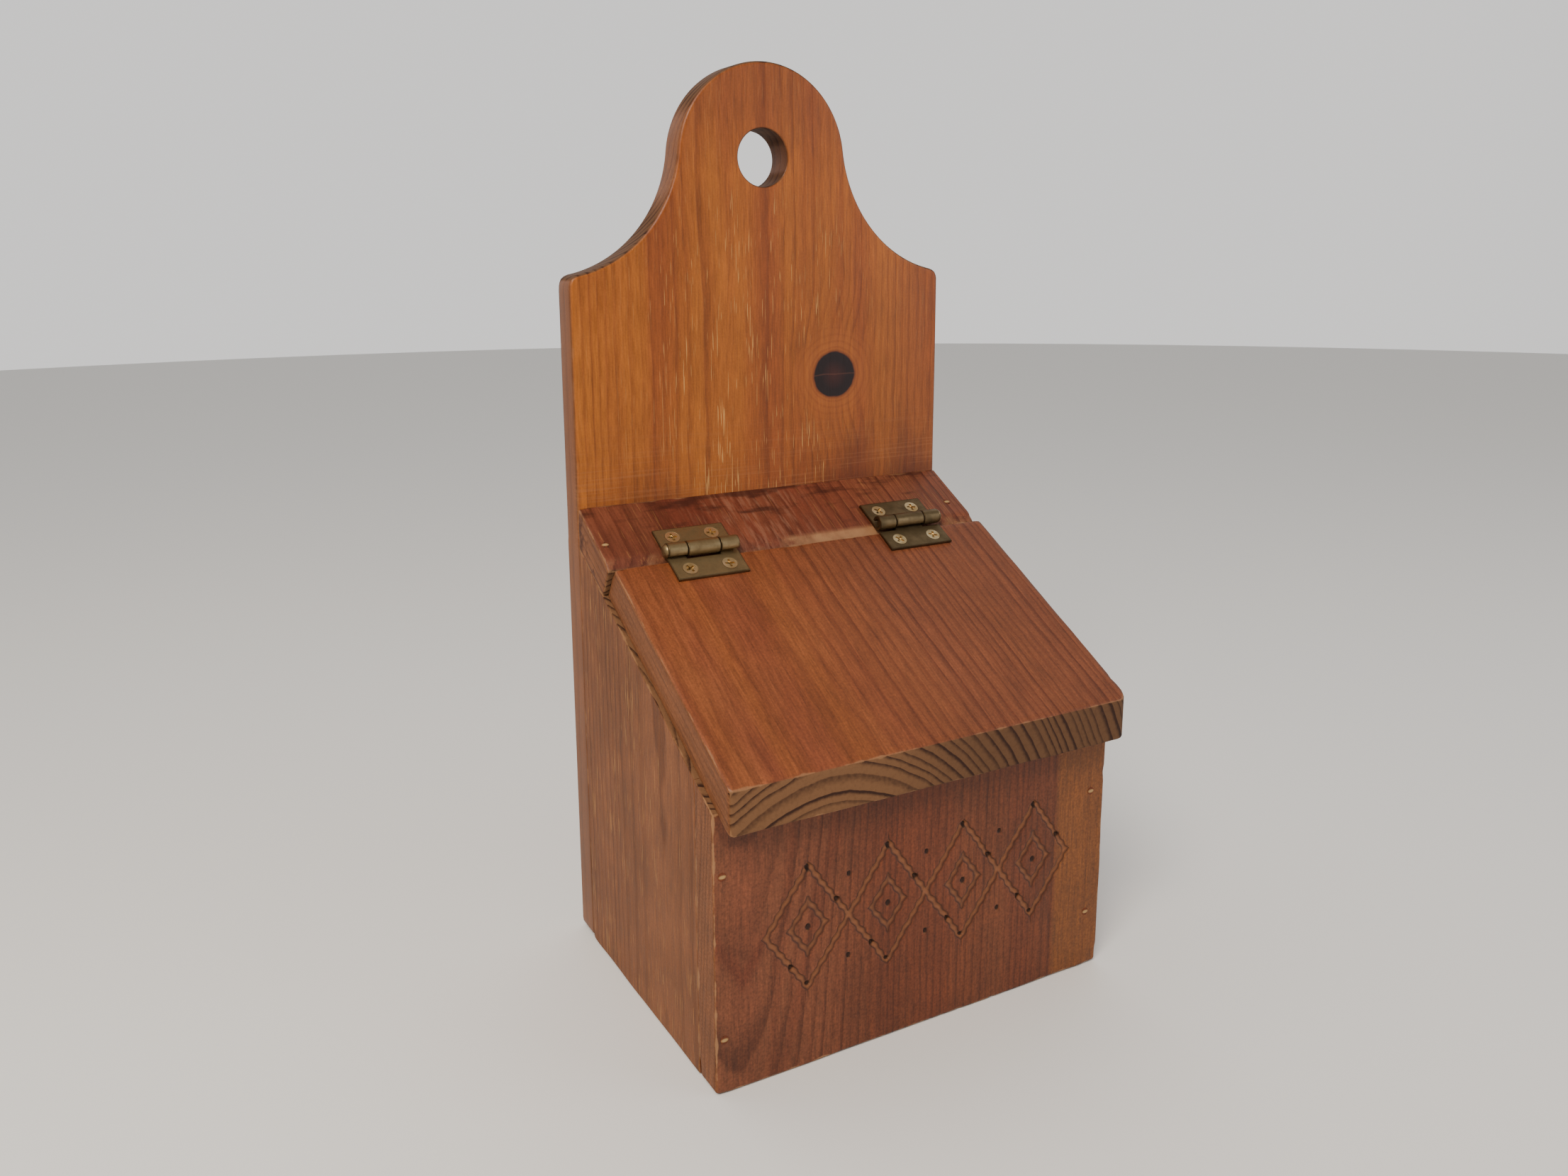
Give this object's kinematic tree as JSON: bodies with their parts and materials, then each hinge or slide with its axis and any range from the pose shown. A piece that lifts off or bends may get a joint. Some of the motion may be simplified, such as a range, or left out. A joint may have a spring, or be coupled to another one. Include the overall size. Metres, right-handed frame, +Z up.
{
  "type": "salt box",
  "caption": "Wall-hung wooden salt box: nailed boards, an arched back board with a hanging hole, and a sloping lid on brass butt hinges screwed to a fixed rail.",
  "frame": {"origin": "centre of the base, on the surface that the box stands on", "axes": "+Z up, +Y towards the wall that the back board hangs on, +X to the right seen from the front"},
  "size_m": [0.1456, 0.1133, 0.2985],
  "materials": {
    "pine_back": "varnished orange-brown pine",
    "pine_front": "stained red-brown pine, satin",
    "pine_sides": "stained brown pine, satin",
    "pine_rail": "stained red-brown pine, scuffed",
    "pine_lid": "stained red-brown pine, satin",
    "hinge_brass": "aged",
    "screw_brass": "worn bright",
    "nail_steel": "plain",
    "wood_filler": "matt filler"
  },
  "bodies": {
    "box": {"back_board": "pine_back", "side_left": "pine_sides", "side_right": "pine_sides", "front_board": "pine_front", "bottom_board": "pine_sides", "hinge_rail": "pine_rail", "hinge_left_rail_leaf": "hinge_brass", "hinge_left_pin": "hinge_brass", "hinge_right_rail_leaf": "hinge_brass", "hinge_right_pin": "hinge_brass", "hinge_left_rail_screws": "screw_brass", "hinge_right_rail_screws": "screw_brass", "front_nails": "nail_steel", "rail_nails": "nail_steel", "back_nails": "nail_steel", "bottom_nails": "nail_steel", "front_nail_fillers": "wood_filler", "rail_nail_fillers": "wood_filler"},
    "lid": {"lid": "pine_lid", "hinge_left_lid_leaf": "hinge_brass", "hinge_right_lid_leaf": "hinge_brass", "hinge_left_lid_screws": "screw_brass", "hinge_right_lid_screws": "screw_brass"}
  },
  "joints": [
    {"name": "lid_hinge", "type": "hinge", "parent": "box", "child": "lid", "pos_m": [0, 0.01682, 0.14308], "axis": [-1, 0, 0], "range_deg": [0, 137.3]}
  ]
}
